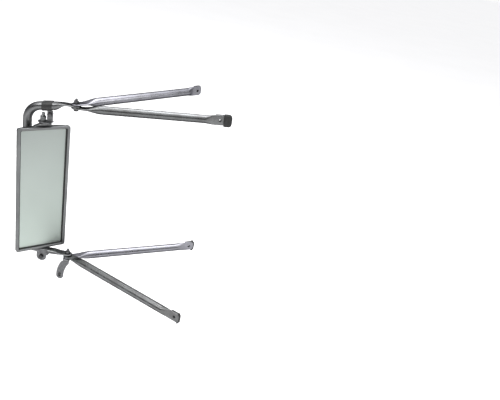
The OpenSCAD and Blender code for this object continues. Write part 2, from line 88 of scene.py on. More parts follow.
# Wall of the rubber lip round the end of a lower arm's foot
LIP_WALLS = {"lower_rear": 0.0028, "lower_front": 0.0042}
X_AXIS = Vector((1, 0, 0))
Y_AXIS = Vector((0, 1, 0))
Z_AXIS = Vector((0, 0, 1))


class Slot(Enum):
    """Material slots of the part's record."""

    TUBE = "tube"
    STAINLESS = "stainless"
    HARDWARE = "plated_hardware"
    BLACK_STEEL = "black_steel"
    PRESSED = "pressed_steel"
    RUBBER = "rubber"
    MIRROR = "mirror"
    FOAM = "foam"
    BRONZE = "bronze"
    NYLON = "nylon"


class Body(Enum):
    """Moving bodies of the part."""

    UPPER_REAR = "upper_rear"
    UPPER_FRONT = "upper_front"
    LOOP = "loop"
    HEAD = "head"
    LOWER_REAR = "lower_rear"
    LOWER_FRONT = "lower_front"
    STRAP = "strap"


# ---- finishes ----------------------------------------------------------------


class Surface:
    """Node tree of one material, with short calls for the textures it needs."""

    def __init__(self, name: str) -> None:
        """Starts an empty material.

        Args:
            name: name of the material.
        """
        self.material = bpy.data.materials.new(name)
        self.material.use_nodes = True
        self.nodes = self.material.node_tree.nodes
        self.links = self.material.node_tree.links
        self.shader = self.nodes["Principled BSDF"]
        self.place = self.nodes.new("ShaderNodeTexCoord").outputs["Object"]

    def stretched(self, scale: Sequence[float]) -> bpy.types.NodeSocket:
        """Texture place, scaled along each axis.

        Args:
            scale: factors along X, Y and Z.

        Returns:
            The scaled vector.
        """
        node = self.nodes.new("ShaderNodeMapping")
        node.inputs["Scale"].default_value = scale
        self.links.new(self.place, node.inputs["Vector"])
        return node.outputs["Vector"]

    def noise(self, scale: Sequence[float], detail: float = 4) -> bpy.types.NodeSocket:
        """Soft noise.

        Args:
            scale: features per metre along X, Y and Z.
            detail: octaves.

        Returns:
            A value around 0.5.
        """
        node = self.nodes.new("ShaderNodeTexNoise")
        node.inputs["Scale"].default_value = 1
        node.inputs["Detail"].default_value = detail
        self.links.new(self.stretched(scale), node.inputs["Vector"])
        return node.outputs["Fac"]

    def cells(self, scale: float) -> bpy.types.NodeSocket:
        """Grey value of a crystal cell, for plated zinc or grained rubber.

        Args:
            scale: cells per metre.

        Returns:
            A value from 0 to 1, the same inside each cell.
        """
        node = self.nodes.new("ShaderNodeTexVoronoi")
        node.inputs["Scale"].default_value = scale
        self.links.new(self.place, node.inputs["Vector"])
        return node.outputs["Color"]

    def rise(self) -> bpy.types.NodeSocket:
        """Share of the height of the piece, from 0 at its foot to 1 at its top."""
        split = self.nodes.new("ShaderNodeSeparateXYZ")
        place = self.nodes.new("ShaderNodeTexCoord").outputs["Generated"]
        self.links.new(place, split.inputs["Vector"])
        return split.outputs["Z"]

    def painted_underside_shade(self, tint: bpy.types.NodeSocket, low: float) -> bpy.types.NodeSocket:
        """Darkens a tint on faces that look down: painted shade for their darker lower sides.

        Args:
            tint: the colour before the painted shade.
            low: share of the tint that is left on such a face.

        Returns:
            The darkened colour.
        """
        split = self.nodes.new("ShaderNodeSeparateXYZ")
        self.links.new(self.nodes.new("ShaderNodeNewGeometry").outputs["Normal"],
                       split.inputs["Vector"])
        # Painted shade: faces whose normal points down keep only a share of their tint
        share = self.ranged(split.outputs["Z"], low, 1, -0.6, 0.3)
        scale = self.nodes.new("ShaderNodeVectorMath")
        scale.operation = "SCALE"
        self.links.new(tint, scale.inputs[0])
        self.links.new(share, scale.inputs["Scale"])
        return scale.outputs["Vector"]

    def ranged(self, value: bpy.types.NodeSocket, low: float, high: float,
               start: float = 0.35, end: float = 0.65) -> bpy.types.NodeSocket:
        """Spreads a value between two limits.

        Args:
            value: the value to spread.
            low: result at start.
            high: result at end.
            start: value that gives low.
            end: value that gives high.

        Returns:
            The spread value.
        """
        node = self.nodes.new("ShaderNodeMapRange")
        for socket, number in zip(("From Min", "From Max", "To Min", "To Max"),
                                  (start, end, low, high)):
            node.inputs[socket].default_value = number
        self.links.new(value, node.inputs["Value"])
        return node.outputs["Result"]

    def blended(self, share: bpy.types.NodeSocket, low: Colour, high: Colour,
                start: float = 0.35, end: float = 0.65) -> bpy.types.NodeSocket:
        """Colour between two tints.

        Args:
            share: value that drives the blend.
            low: tint at start.
            high: tint at end.
            start: value that gives the first tint.
            end: value that gives the second tint.

        Returns:
            The blended colour.
        """
        node = self.nodes.new("ShaderNodeValToRGB")
        stops = node.color_ramp.elements
        stops[0].position = start
        stops[1].position = end
        stops[0].color = (*low, 1)
        stops[1].color = (*high, 1)
        self.links.new(share, node.inputs["Fac"])
        return node.outputs["Color"]

    def bump(self, height: bpy.types.NodeSocket, depth: float, strength: float = 1) -> None:
        """Raises the surface by a texture.

        Args:
            height: the texture.
            depth: height of the relief.
            strength: share of the relief that is used.
        """
        node = self.nodes.new("ShaderNodeBump")
        node.inputs["Distance"].default_value = depth
        node.inputs["Strength"].default_value = strength
        self.links.new(height, node.inputs["Height"])
        self.links.new(node.outputs["Normal"], self.shader.inputs["Normal"])

    def drive(self, socket: str, value: bpy.types.NodeSocket) -> None:
        """Links a texture to the shader."""
        self.links.new(value, self.shader.inputs[socket])

    def fix(self, **values: float | tuple[float, ...]) -> None:
        """Sets constants on the shader; underscores stand for spaces."""
        for name, value in values.items():
            self.shader.inputs[name.replace("_", " ")].default_value = value


@dataclass(frozen=True)
class Metal:
    """Bare or plated metal with worn patches, a fine grain and painted shade on faces that look down."""

    name: str
    bright: Colour
    worn: Colour
    polish: float
    haze: float
    grain: tuple[float, float, float] = (60, 60, 60)
    relief: float = 0.00002
    patch: float = 22
    # Share of the tint left on faces that look down: painted shade, 1 for none
    under: float = 1.0
    edge: float = 0.5

    def material(self) -> bpy.types.Material:
        """Makes the material."""
        s = Surface(self.name)
        patches = s.noise((self.patch,) * 3, 6)
        s.fix(Metallic=1, Specular_Tint=(self.edge, self.edge, self.edge, 1))
        tint = s.blended(patches, self.worn, self.bright, 0.36, 0.56)
        # The base colour gets painted shade on faces that look down
        s.drive("Base Color", s.painted_underside_shade(tint, self.under))
        s.drive("Roughness", s.ranged(s.noise(self.grain, 5), self.polish, self.haze))
        s.bump(s.noise(self.grain, 3), self.relief, 0.35)
        return s.material


@dataclass(frozen=True)
class Zinc:
    """Dull zinc-coated steel with faint crystals."""

    name: str
    light: Colour
    dark: Colour
    roughness: float = 0.42
    crystals: float = 260

    def material(self) -> bpy.types.Material:
        """Makes the material."""
        s = Surface(self.name)
        spangle = s.cells(self.crystals)
        s.fix(Metallic=0.85)
        s.drive("Base Color", s.blended(spangle, self.dark, self.light, 0.0, 1.0))
        s.drive("Roughness", s.ranged(s.noise((90, 90, 90)), self.roughness - 0.08,
                                      self.roughness + 0.1))
        s.bump(spangle, 0.00003, 0.25)
        return s.material


@dataclass(frozen=True)
class Coating:
    """Paint or plastic with a faint orange-peel and rubbed patches."""

    name: str
    fresh: Colour
    rubbed: Colour
    roughness: float
    peel: float = 420
    relief: float = 0.00004

    def material(self) -> bpy.types.Material:
        """Makes the material."""
        s = Surface(self.name)
        s.fix(Metallic=0)
        s.drive("Base Color", s.blended(s.noise((35, 35, 35), 6), self.fresh, self.rubbed, 0.42, 0.7))
        s.drive("Roughness", s.ranged(s.noise((120, 120, 120)), self.roughness - 0.07,
                                      self.roughness + 0.09))
        s.bump(s.noise((self.peel,) * 3, 2), self.relief, 0.5)
        return s.material


@dataclass(frozen=True)
class Silvering:
    """Silvered glass with a green cast, paler towards its foot as a painted reflection."""

    name: str
    pale: Colour
    deep: Colour
    haze: float = 0.42

    def material(self) -> bpy.types.Material:
        """Makes the material."""
        s = Surface(self.name)
        s.fix(Metallic=1)
        # Painted reflection: the base colour runs from pale at the foot to deep at the top
        s.drive("Base Color", s.blended(s.rise(), self.pale, self.deep, 0.0, 1.0))
        s.drive("Roughness", s.ranged(s.noise((7, 7, 5), 3), self.haze + 0.03, self.haze - 0.03))
        s.bump(s.noise((3, 3, 2), 1), 0.0006, 0.15)
        return s.material


# One real tube finish in three tones: the front arms' copy has painted light, the loop's copy painted shade, the
# rear arms' copy lies between; all carry worn patches
PAINTED_LIGHT_TUBE = Metal("tube_painted_light", (0.245, 0.245, 0.268), (0.20, 0.20, 0.215), 0.26, 0.34,
                    under=0.25, edge=0.15)
PAINTED_SHADE_TUBE = Metal("tube_painted_shade", (0.165, 0.168, 0.17), (0.12, 0.122, 0.124), 0.26, 0.36, under=0.7,
                  edge=0.15)
FINISHES: dict[Slot, Metal | Zinc | Coating | Silvering] = {
    Slot.TUBE: Metal("tube_wear_and_painted_shade", (0.18, 0.185, 0.185), (0.14, 0.14, 0.14), 0.24, 0.34,
                     under=0.35, edge=0.15),
    Slot.STAINLESS: Metal("satin_stainless", (0.145, 0.149, 0.149), (0.115, 0.118, 0.118), 0.26, 0.38,
                          (900, 900, 14), 0.00001, 14),
    Slot.HARDWARE: Metal("dark_plating", (0.10, 0.10, 0.103), (0.045, 0.045, 0.045), 0.26, 0.42,
                         (160, 160, 160)),
    Slot.BLACK_STEEL: Coating("black_coat", (0.003, 0.0035, 0.0035), (0.012, 0.012, 0.012), 0.5),
    Slot.PRESSED: Zinc("dull_zinc", (0.16, 0.163, 0.166), (0.095, 0.096, 0.099)),
    Slot.RUBBER: Coating("black_rubber", (0.005, 0.005, 0.005), (0.013, 0.013, 0.0125), 0.66, 700,
                         0.00008),
    Slot.MIRROR: Silvering("silvered_glass", (0.385, 0.435, 0.40), (0.265, 0.29, 0.275)),
    Slot.FOAM: Coating("closed_foam", (0.16, 0.16, 0.15), (0.22, 0.22, 0.20), 0.85, 900, 0.0001),
    Slot.BRONZE: Metal("bearing_bronze", (0.62, 0.48, 0.25), (0.42, 0.31, 0.16), 0.3, 0.45),
    Slot.NYLON: Coating("natural_nylon", (0.72, 0.72, 0.68), (0.62, 0.62, 0.57), 0.45, 300,
                        0.00002),
}


# ---- mesh making ---------------------------------------------------------------


@dataclass(frozen=True)
class Station:
    """Cross-section of a pressed tube at one place along its centre line."""

    centre: Vector
    along: Vector
    wide: float
    tall: float


def eased(share: float) -> float:
    """Smooth step from 0 to 1."""
    return share * share * (3 - 2 * share)


def between(low: float, high: float, share: float) -> float:
    """Value at a share of the way from low to high."""
    return low + (high - low) * share


def slot_outline(wide: float, tall: float, steps: int = 9) -> list[tuple[float, float]]:
    """Outline of a pressed tube: round when both halves match, else a slot shape.

    Args:
        wide: half of the width.
        tall: half of the height.
        steps: points on each quarter turn.

    Returns:
        Points in order round the outline.
    """
    r = min(wide, tall)
    points = []
    for quarter, (sx, sy) in enumerate(((1, 1), (-1, 1), (-1, -1), (1, -1))):
        for step in range(steps + 1):
            a = (quarter + step / steps) * math.pi / 2
            points.append((sx * (wide - r) + r * math.cos(a), sy * (tall - r) + r * math.sin(a)))
    return points


def rounded_outline(width: float, height: float, radius: float,
                    steps: int = 8) -> list[tuple[float, float]]:
    """Outline of a rectangle with round corners.

    Args:
        width: full width.
        height: full height.
        radius: corner radius.
        steps: points on each corner.

    Returns:
        Points in order round the outline.
    """
    points = []
    for quarter, (sx, sy) in enumerate(((1, 1), (-1, 1), (-1, -1), (1, -1))):
        for step in range(steps + 1):
            a = (quarter + step / steps) * math.pi / 2
            points.append((sx * (width / 2 - radius) + radius * math.cos(a),
                           sy * (height / 2 - radius) + radius * math.sin(a)))
    return points


class Shape:
    """Mesh under construction."""

    def __init__(self) -> None:
        """Starts an empty mesh."""
        self.bm = bmesh.new()

    def loft(self, rings: Sequence[Sequence[Vector]], closed: bool = True,
             loop: bool = False, caps: bool = True) -> "Shape":
        """Skins a row of rings.

        Args:
            rings: rings with the same number of points each.
            closed: joins the last point of a ring to its first.
            loop: joins the last ring to the first.
            caps: closes the first and the last ring.

        Returns:
            The shape itself.
        """
        rows = [[self.bm.verts.new(p) for p in ring] for ring in rings]
        size = len(rows[0])
        pairs = list(zip(rows, rows[1:]))
        if loop:
            pairs.append((rows[-1], rows[0]))
        for first, second in pairs:
            for i in range(size if closed else size - 1):
                j = (i + 1) % size
                self.bm.faces.new((first[i], first[j], second[j], second[i]))
        if caps and not loop:
            self.bm.faces.new(rows[0][::-1])
            self.bm.faces.new(rows[-1])
        return self

    def made(self, name: str, place: Matrix | None = None) -> bpy.types.Object:
        """Turns the shape into an object.

        Args:
            name: name of the object.
            place: transform from the shape's own frame to the part's frame.

        Returns:
            The object, with its place in its mesh.
        """
        bmesh.ops.remove_doubles(self.bm, verts=self.bm.verts, dist=WELD)
        bmesh.ops.dissolve_degenerate(self.bm, edges=self.bm.edges, dist=WELD)
        bmesh.ops.recalc_face_normals(self.bm, faces=self.bm.faces)
        if place is not None:
            bmesh.ops.transform(self.bm, matrix=place, verts=self.bm.verts)
        mesh = bpy.data.meshes.new(name)
        self.bm.to_mesh(mesh)
        self.bm.free()
        piece = bpy.data.objects.new(name, mesh)
        bpy.context.scene.collection.objects.link(piece)
        shade(piece)
        return piece


def shade(piece: bpy.types.Object) -> None:
    """Shades a piece smooth, with sharp edges where its faces meet at an angle."""
    bm = bmesh.new()
    bm.from_mesh(piece.data)
    for face in bm.faces:
        face.smooth = True
    for edge in bm.edges:
        edge.smooth = len(edge.link_faces) == 2 and edge.calc_face_angle(0) < CREASE
    bm.to_mesh(piece.data)
    bm.free()


def settle(piece: bpy.types.Object) -> None:
    """Makes a piece's modifiers part of its mesh."""
    bpy.context.view_layer.update()
    graph = bpy.context.evaluated_depsgraph_get()
    mesh = bpy.data.meshes.new_from_object(piece.evaluated_get(graph))
    piece.modifiers.clear()
    piece.data = mesh
    shade(piece)


def soften(piece: bpy.types.Object, width: float, segments: int = 2) -> bpy.types.Object:
    """Rounds a piece's sharp edges.

    Args:
        piece: the piece.
        width: width of the rounding.
        segments: faces across it.

    Returns:
        The piece itself.
    """
    bevel = piece.modifiers.new("edge", "BEVEL")
    bevel.width = width
    bevel.segments = segments
    bevel.limit_method = "ANGLE"
    bevel.angle_limit = CREASE
    settle(piece)
    return piece


def drill(piece: bpy.types.Object, centre: Vector, axis: Vector, outline: Sequence[tuple[float, float]],
          depth: float) -> bpy.types.Object:
    """Cuts a hole through a piece.

    Args:
        piece: the piece.
        centre: middle of the hole.
        axis: direction of the hole.
        outline: outline of the hole, across its axis.
        depth: length of the cutter.

    Returns:
        The piece itself.
    """
    side = X_AXIS if abs(axis.normalized().dot(X_AXIS)) < 0.9 else Y_AXIS
    across = axis.cross(side).normalized()
    side = across.cross(axis).normalized()
    rings = [[centre + side * a + across * b + axis.normalized() * depth * end for a, b in outline]
             for end in (-0.5, 0.5)]
    cutter = Shape().loft(rings).made("cutter")
    cut = piece.modifiers.new("hole", "BOOLEAN")
    cut.operation = "DIFFERENCE"
    cut.solver = "EXACT"
    cut.object = cutter
    settle(piece)
    bpy.data.objects.remove(cutter)
    return piece


def round_hole(radius: float) -> list[tuple[float, float]]:
    """Outline of a round hole."""
    return slot_outline(radius, radius, 10)


def swept(stations: Iterable[Station], across: Vector) -> list[list[Vector]]:
    """Rings of a pressed tube.

    Args:
        stations: its cross-sections in order.
        across: direction that stays square to the tube's plane.

    Returns:
        One ring for each station.
    """
    rings = []
    for s in stations:
        lift = s.along.cross(across).normalized()
        rings.append([s.centre + across * a + lift * b for a, b in slot_outline(s.wide, s.tall)])
    return rings


@dataclass(frozen=True)
class Row:
    """One line across a bent sheet: its middle surface and its ends along X."""

    y: float
    z: float
    out_y: float
    out_z: float
    left: float
    right: float


def bent_sheet(rows: Sequence[Row], thickness: float) -> Shape:
    """Skins a folded sheet with rounded edges.

    Args:
        rows: lines across the sheet, in order.
        thickness: thickness of the sheet.

    Returns:
        The shape.
    """
    half = thickness / 2
    rings = []
    for row in rows:
        ring = []
        for a, b in slot_outline((row.right - row.left) / 2, half, 4):
            x = (row.left + row.right) / 2 + a
            ring.append(Vector((x, row.y + row.out_y * b, row.z + row.out_z * b)))
        rings.append(ring)
    return Shape().loft(rings)


def face_ring(width: float, height: float, radius: float, depth: float) -> list[Vector]:
    """Rounded rectangle in an upright plane.

    Args:
        width: full width along X.
        height: full height along Z.
        radius: corner radius.
        depth: place of the plane along Y.

    Returns:
        Points in order.
    """
    return [Vector((x, depth, z)) for x, z in rounded_outline(width, height, radius)]


def turned(profile: Sequence[tuple[float, float]], steps: int = 48) -> Shape:
    """Lathe shape about Z.

    Args:
        profile: closed outline as radius and height.
        steps: faces round the shape.

    Returns:
        The shape.
    """
    rings = [[Vector((r * math.cos(math.tau * k / steps), r * math.sin(math.tau * k / steps), z))
              for k in range(steps)] for r, z in profile]
    return Shape().loft(rings, loop=True)


# ---- fasteners -------------------------------------------------------------------


@dataclass
class Fastener:
    """Hexagon bolts, nuts and threaded studs along one axis."""

    corner: float = 0.0075
    shank: float = 0.004
    pitch: float = 0.00125
    head: float = 0.0053
    steps: int = 48
    rings_per_turn: int = 8

    def hex_radius(self, angle: float) -> float:
        """Distance from the axis to the hexagon's side at an angle."""
        sector = math.pi / 3
        local = (angle % sector) - sector / 2
        return self.corner * math.cos(sector / 2) / math.cos(local)

    def hexagon(self, height: float, bore: float, chamfer: tuple[bool, bool]) -> Shape:
        """Hexagon with its corners turned off.

        Args:
            height: height of the hexagon.
            bore: radius of the hole, 0 for none.
            chamfer: whether the lower and the upper corners are turned off.

        Returns:
            The shape, standing on z = 0.
        """
        turned = 0.97
        flat = self.corner * math.cos(math.pi / 6) * turned
        tilt = math.tan(math.radians(30))
        angles = [math.tau * k / self.steps for k in range(self.steps)]

        def level(base: float, sign: float, wanted: bool) -> list[Vector]:
            """Ring where the flat sides meet a chamfer.

            Args:
                base: height of the hexagon's face.
                sign: direction from that face into the hexagon, 1 or -1.
                wanted: whether this end has its corners turned off.

            Returns:
                The ring's points.
            """
            ring = []
            for a in angles:
                r = self.hex_radius(a)
                drop = (r - flat) * tilt if wanted else 0.0
                ring.append(Vector((r * math.cos(a), r * math.sin(a), base + sign * drop)))
            return ring

        def circle(radius: float, z: float) -> list[Vector]:
            """Level ring."""
            return [Vector((radius * math.cos(a), radius * math.sin(a), z)) for a in angles]

        rings = [circle(flat, 0), level(0, 1, chamfer[0]), level(height, -1, chamfer[1]),
                 circle(flat, height)]
        if bore <= 0:
            return Shape().loft(rings)
        rings += [circle(bore * 1.12, height), circle(bore, height - bore * 0.12),
                  circle(bore, bore * 0.12), circle(bore * 1.12, 0)]
        return Shape().loft(rings, loop=True)

    def thread(self, length: float) -> Shape:
        """Threaded rod with a chamfered tip, standing on z = 0.

        Args:
            length: length of the rod.

        Returns:
            The shape.
        """
        count = max(4, int(length / self.pitch * self.rings_per_turn))
        depth = self.pitch * 0.42
        sides = 28
        rings = []
        for k in range(count + 1):
            z = length * k / count
            tip = max(0.0, z - (length - self.pitch))
            ring = []
            for i in range(sides):
                phase = (z / self.pitch - i / sides) % 1
                groove = depth * (1 - abs(2 * phase - 1))
                r = min(self.shank - groove, self.shank - tip * 0.8)
                a = math.tau * i / sides
                ring.append(Vector((r * math.cos(a), r * math.sin(a), z)))
            rings.append(ring)
        return Shape().loft(rings)


def axis_frame(base: Vector, axis: Vector) -> Matrix:
    """Transform from a shape standing on Z to one that starts at base and runs along axis."""
    turn = Z_AXIS.rotation_difference(axis).to_matrix().to_4x4()
    return Matrix.Translation(base) @ turn


# ---- pieces ------------------------------------------------------------------------


@dataclass
class Assembly:
    """Pieces of one moving body, and how they are dressed."""

    finishes: dict[Slot, bpy.types.Material]
    body: Body

    def add(self, piece: bpy.types.Object, slot: Slot, *nodes: str) -> bpy.types.Object:
        """Dresses a piece and makes it ride on its body.

        Args:
            piece: the new piece.
            slot: material slot it takes its finish from.
            nodes: nodes of the part that it stands for.

        Returns:
            The piece itself.
        """
        piece.data.materials.clear()
        piece.data.materials.append(self.finishes[slot])
        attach(piece, self.body.value)
        if nodes:
            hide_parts(*nodes)
        LOG.info("%s rides on %s", piece.name, self.body.value)
        return piece

    def bolt(self, node: str, axis: Vector, size: Fastener) -> None:
        """Replaces a plain bolt with one that has a turned head and a thread.

        Args:
            node: the bolt's node.
            axis: direction from its head to its tip.
            size: the bolt's sizes.
        """
        low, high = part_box(node)
        middle = (low + high) / 2
        reach = abs((high - low).dot(axis))
        base = middle - axis * reach / 2
        head = size.hexagon(size.head, 0, (True, False)).made(node + "_head", axis_frame(base, axis))
        self.add(soften(head, 0.0003), Slot.HARDWARE, node)
        rod = size.thread(reach - size.head).made(node + "_thread",
                                                  axis_frame(base + axis * size.head, axis))
        self.add(rod, Slot.HARDWARE)

    def nut(self, node: str, axis: Vector, size: Fastener) -> None:
        """Replaces a plain nut with one that has turned corners.

        Args:
            node: the nut's node.
            axis: direction of its hole.
            size: the nut's sizes.
        """
        low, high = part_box(node)
        reach = abs((high - low).dot(axis))
        base = (low + high) / 2 - axis * reach / 2
        nut = size.hexagon(reach, size.shank, (True, True)).made(node + "_turned",
                                                                 axis_frame(base, axis))
        self.add(nut, Slot.HARDWARE, node)


def joint_place(name: str) -> Vector:
    """Place of a joint in the part's frame."""
    return Vector(next(j["pos_m"] for j in frame["joints"] if j["name"] == name))


def mount(name: str) -> dict:
    """Entry of a mount in the part's record."""
    return next(m for m in frame["record"]["mounts"] if m["name"] == name)


@dataclass
class Arm(Assembly):
    """Tube arm with a flat hinge tongue, an upright foot and its rubber."""

    name: str = ""
    hinge: Vector = field(default_factory=Vector)
    radius: float = 0.0127
    tongue_half: float = 0.0135
    tongue_run: float = 0.024
    press_half: float = 0.0021
    taper: float = 0.046
    foot_taper: float = 0.034
    foot_half: float = 0.016
    foot_corner: float = 0.008
    foot_run: float = 0.032
    hole_inset: float = 0.016
    hinge_hole: float = BOLT_BORE
    foot_hole: float = 0.0045

    def bearings(self) -> tuple[Matrix, float, float]:
        """Finds how the arm lies.

        Returns:
            Its own frame with X along it, the slope of its tube and the distance along
            that slope from the tongue to the foot's hole.
        """
        foot = Vector(mount(self.name + "_foot")["pos_m"])
        span = foot - self.hinge
        turn = math.atan2(span.y, span.x)
        run = math.hypot(span.x, span.y) - self.tongue_run
        place = Matrix.Translation(self.hinge) @ Matrix.Rotation(turn, 4, "Z")
        return place, math.atan2(span.z, run), math.hypot(run, span.z)

    def stations(self, slope: float, reach: float) -> list[Station]:
        """Cross-sections from the tongue's tip to the foot's end.

        Args:
            slope: slope of the tube.
            reach: distance from the tongue to the foot's hole.

        Returns:
            The cross-sections in order.
        """
        along = Vector((math.cos(slope), 0, math.sin(slope)))
        start = Vector((self.tongue_run, 0, 0))
        rows = []
        for k in range(9):
            a = math.pi / 2 * (k + 0.35) / 8.35
            rows.append(Station(Vector((-self.tongue_half * math.cos(a), 0, 0)), X_AXIS,
                                self.tongue_half * math.sin(a), self.press_half))
        for k in range(17):
            share = k / 16
            size = eased(share)
            rows.append(Station(start + along * self.taper * share,
                                X_AXIS.lerp(along, min(1, share * 3)).normalized(),
                                between(self.tongue_half, self.radius, size),
                                between(self.press_half, self.radius, size)))
        end = reach + self.hole_inset
        tube_end = end - self.foot_run - self.foot_taper
        for k in range(1, 5):
            rows.append(Station(start + along * between(self.taper, tube_end, k / 5), along,
                                self.radius, self.radius))
        for k in range(15):
            share = k / 14
            size = eased(share)
            rows.append(Station(start + along * (tube_end + self.foot_taper * share), along,
                                between(self.radius, self.press_half, size),
                                between(self.radius, self.foot_half, size)))
        for k in range(9):
            a = math.pi / 2 * k / 8
            rows.append(Station(
                start + along * (end - self.foot_corner * (1 - math.sin(a))), along, self.press_half,
                self.foot_half - self.foot_corner * (1 - math.cos(a))))
        return rows

    def build(self) -> None:
        """Builds the arm."""
        place, slope, reach = self.bearings()
        arm = Shape().loft(swept(self.stations(slope, reach), Y_AXIS)).made(
            self.name + "_tube", place)
        drill(arm, self.hinge, Z_AXIS, round_hole(self.hinge_hole), THROUGH)
        foot = mount(self.name + "_foot")
        drill(arm, Vector(foot["pos_m"]), Vector(foot["axis"]), round_hole(self.foot_hole), THROUGH)
        self.add(arm, Slot.TUBE, self.name + "_arm")

    def foot_frame(self) -> Matrix:
        """Frame at the foot's hole, X along the arm and Z up."""
        place, slope, reach = self.bearings()
        along = Vector((self.tongue_run + reach * math.cos(slope), 0, reach * math.sin(slope)))
        return place @ Matrix.Translation(along) @ Matrix.Rotation(-slope, 4, "Y")

    def pad(self, node: str, thickness: float = 0.003, grow: float = 0.0012,
            trim: float = 0.002, pilot: float = 0.002) -> None:
        """Builds the rubber pad behind the foot.

        Args:
            node: the rubber's node.
            thickness: thickness of the pad.
            grow: how far the pad stands past the foot's outline.
            trim: how far past the foot's root the pad starts.
            pilot: radius of the small hole that the bolt is pushed through.
        """
        corner = self.foot_corner + grow
        half = self.foot_half + grow
        tail = self.hole_inset - self.foot_run + trim
        nose = self.hole_inset + grow
        outline = [(tail, -half)]
        for side in (-1, 1):
            for k in range(9):
                a = math.pi / 2 * (k / 8 if side > 0 else 1 - k / 8)
                outline.append((nose - corner + corner * math.cos(a),
                                side * (half - corner + corner * math.sin(a))))
        outline.append((tail, half))
        near = self.press_half + 0.00005
        rings = [[Vector((x, y, z)) for x, z in outline] for y in (near, near + thickness)]
        pad = Shape().loft(rings).made(self.name + "_pad_moulded", self.foot_frame())
        foot = mount(self.name + "_foot")
        drill(pad, Vector(foot["pos_m"]), Vector(foot["axis"]), round_hole(pilot), 0.03)
        self.add(soften(pad, 0.0007, 3), Slot.RUBBER, node)

    def lip(self, wall: float, thickness: float = 0.003, wrap: float = 0.002) -> None:
        """Builds the lip that wraps the foot's end.

        Args:
            wall: thickness of the lip round the foot's edge.
            thickness: thickness of the pad behind the foot.
            wrap: how far the lip's ends stop from the start of the foot's corner.
        """
        corner = self.foot_corner
        reach = corner + wall / 2
        first = math.acos(wrap / reach)
        half = self.press_half + thickness / 2
        rings = []
        for side in (-1, 1):
            for k in range(11):
                a = first * (k / 10 if side > 0 else k / 10 - 1)
                out = Vector((math.cos(a), 0, math.sin(a)))
                middle = Vector((self.hole_inset - corner, thickness / 2,
                                 side * (self.foot_half - corner))) + out * reach
                rings.append([middle + Y_AXIS * u + out * v
                              for u, v in rounded_outline(2 * half, wall, 0.0005, 3)])
        piece = Shape().loft(rings).made(self.name + "_pad_lip", self.foot_frame())
        self.add(piece, Slot.RUBBER)

    def tab(self, rise: float = 0.008, width: float = 0.004, thickness: float = 0.003) -> None:
        """Builds the small pull tab on top of the pad.

        Args:
            rise: how far it stands over the foot.
            width: width of the tab.
            thickness: thickness of the tab.
        """
        overlap = 0.002
        middle_x = self.hole_inset - self.foot_corner + overlap + width / 2
        middle_y = self.press_half + thickness / 2
        rings = []
        for z, size in ((-overlap, 1.0), (rise * 0.7, 1.0), (rise * 0.92, 0.9), (rise, 0.6)):
            rings.append([Vector((middle_x + x * size, middle_y + y * size, self.foot_half + z))
                          for x, y in rounded_outline(width, thickness, 0.001, 4)])
        piece = Shape().loft(rings).made(self.name + "_pad_tab", self.foot_frame())
        self.add(piece, Slot.RUBBER)

    def boot(self, height: float = 0.038, thickness: float = 0.016, cover: float = 0.004,
             reach: float = 0.021, corner: float = 0.009, chamfer: float = 0.0012,
             edge: float = 0.0035) -> None:
        """Builds the thick rubber boot over the foot's end.

        Args:
            height: height of the boot.
            thickness: thickness of the boot.
            cover: how much of the foot it covers.
            reach: how far it stands past the foot's end.
            corner: corner radius of its end, seen from the side.
            chamfer: width of the chamfer at its open end.
            edge: radius of its long edges.
        """
        length = cover + reach
        thinning = 0.35
        roundness = 0.96
        rings = []
        for k in range(25):
            x = length * (k / 24)
            near_end = min(1.0, max(0.0, x - (length - corner)) / corner)
            near_start = max(0.0, chamfer - x) / chamfer
            half_z = height / 2 - corner * (1 - math.sqrt(1 - near_end ** 2)) * roundness
            half_y = thickness / 2 * (1 - thinning * near_end ** 3) - chamfer * near_start
            rings.append([Vector((self.hole_inset - cover + x, y, z)) for y, z in
                          rounded_outline(2 * half_y, 2 * (half_z - chamfer * near_start), edge)])
        boot = Shape().loft(rings).made(self.name + "_boot_moulded", self.foot_frame())
        self.add(boot, Slot.RUBBER, self.name + "_boot")


